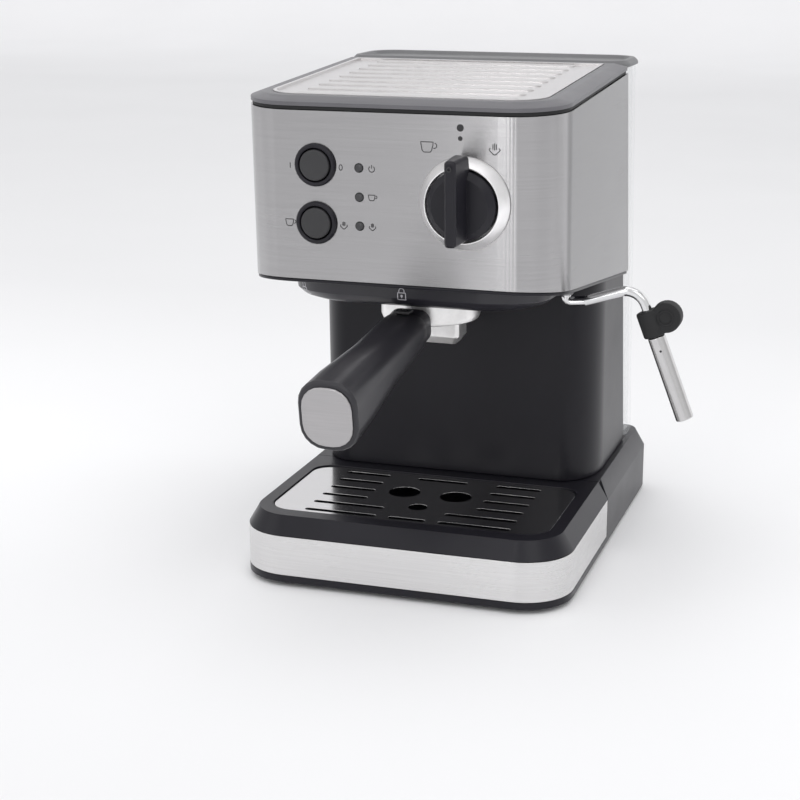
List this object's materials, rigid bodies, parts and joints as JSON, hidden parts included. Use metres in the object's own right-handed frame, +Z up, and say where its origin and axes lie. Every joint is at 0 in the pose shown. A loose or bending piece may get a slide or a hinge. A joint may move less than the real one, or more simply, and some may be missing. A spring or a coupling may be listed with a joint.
{
  "type": "espresso machine",
  "caption": "Pump espresso machine with removable drip tray and water tank, bayonet filter holder, steam wand, rotary steam knob and push buttons.",
  "frame": {"origin": "on the worktop under the middle of the machine's overall box, steam wand and filter holder included", "axes": "+Z up, -Y towards the user (the control panel faces -Y), +X to the user's right, where the steam wand is"},
  "size_m": [0.2596, 0.3689, 0.2979],
  "materials": {
    "black_abs": "fine moulded texture",
    "shroud_abs": "satin moulded",
    "button_abs": "satin",
    "handle_phenolic": "satin moulded",
    "trim_abs": "satin",
    "lid_abs": "satin",
    "grey_nylon": "moulded",
    "black_rubber": "matt",
    "brushed_steel": "brushed",
    "polished_chrome": "polished",
    "cast_aluminium": "cast and tumbled",
    "brass": "machined",
    "copper": "drawn tube",
    "clear_san": "clear polished",
    "silicone_hose": "translucent silicone",
    "light_lens": "smoked lens",
    "circuit_board": "solder mask"
  },
  "bodies": {
    "machine": {"base_housing": "black_abs", "boiler": "cast_aluminium", "bottom_plate": "black_abs", "brew_bezel": "black_abs", "brew_light": "light_lens", "column_shell": "black_abs", "control_board": "circuit_board", "cord_gland": "black_rubber", "feed_hose": "silicone_hose", "foot_front_left": "black_rubber", "foot_front_right": "black_rubber", "foot_rear_left": "black_rubber", "foot_rear_right": "black_rubber", "group_head": "cast_aluminium", "group_seal": "black_rubber", "group_shroud": "shroud_abs", "head_back": "black_abs", "head_pan": "black_abs", "head_wrap": "brushed_steel", "knob_ring": "brushed_steel", "power_bezel": "black_abs", "power_light": "light_lens", "pressure_pipe": "silicone_hose", "pump": "grey_nylon", "pump_mount": "black_rubber", "screen_screw": "brushed_steel", "shower_screen": "brushed_steel", "steam_light": "light_lens", "steam_pipe": "copper", "steam_valve": "brass", "top_gasket": "black_abs", "top_trim": "trim_abs", "wand_socket": "brushed_steel", "warming_tray": "brushed_steel", "water_inlet": "grey_nylon"},
    "drip_tray": {"drip_tray": "black_abs", "tray_band": "brushed_steel"},
    "drip_grid": {"drip_grid": "brushed_steel"},
    "water_tank": {"water_tank": "clear_san"},
    "tank_lid": {"tank_lid": "lid_abs"},
    "steam_wand": {"steam_tube": "polished_chrome", "froth_sleeve": "brushed_steel", "wand_grip": "black_rubber"},
    "steam_knob": {"steam_knob": "black_abs", "knob_shaft": "brushed_steel"},
    "power_button": {"power_button": "button_abs"},
    "brew_button": {"brew_button": "button_abs"},
    "portafilter": {"portafilter_body": "cast_aluminium", "filter_basket": "brushed_steel", "spout": "cast_aluminium", "handle": "handle_phenolic", "handle_cap": "brushed_steel", "basket_clip": "brushed_steel"}
  },
  "joints": [
    {"name": "tray_slide", "type": "slide", "parent": "machine", "child": "drip_tray", "axis": [0, -1, 0], "range_m": [0, 0.15]},
    {"name": "grid_lift", "type": "slide", "parent": "drip_tray", "child": "drip_grid", "axis": [0, 0, 1], "range_m": [0, 0.05]},
    {"name": "portafilter_turn", "type": "hinge", "parent": "machine", "child": "portafilter", "pos_m": [-0.03005, -0.0143, 0.168], "axis": [0, 0, -1], "range_deg": [0, 45]},
    {"name": "tank_lift", "type": "slide", "parent": "machine", "child": "water_tank", "axis": [0, 0, 1], "range_m": [0, 0.27]},
    {"name": "lid_hinge", "type": "hinge", "parent": "water_tank", "child": "tank_lid", "pos_m": [-0.03005, 0.1547, 0.29368], "axis": [-1, 0, 0], "range_deg": [0, 100]},
    {"name": "wand_swing", "type": "hinge", "parent": "machine", "child": "steam_wand", "pos_m": [0.05325, -0.0205, 0.1742], "axis": [0, 0, 1], "range_deg": [-65, 40]},
    {"name": "knob_turn", "type": "hinge", "parent": "machine", "child": "steam_knob", "pos_m": [0.01075, -0.08584, 0.2345], "axis": [0, -0.9994, -0.035], "range_deg": [-48, 48]},
    {"name": "power_press", "type": "slide", "parent": "machine", "child": "power_button", "axis": [0, 0.9994, 0.035], "range_m": [0, 0.002], "stiffness_N_per_m": 400},
    {"name": "brew_press", "type": "slide", "parent": "machine", "child": "brew_button", "axis": [0, 0.9994, 0.035], "range_m": [0, 0.002], "stiffness_N_per_m": 400}
  ]
}
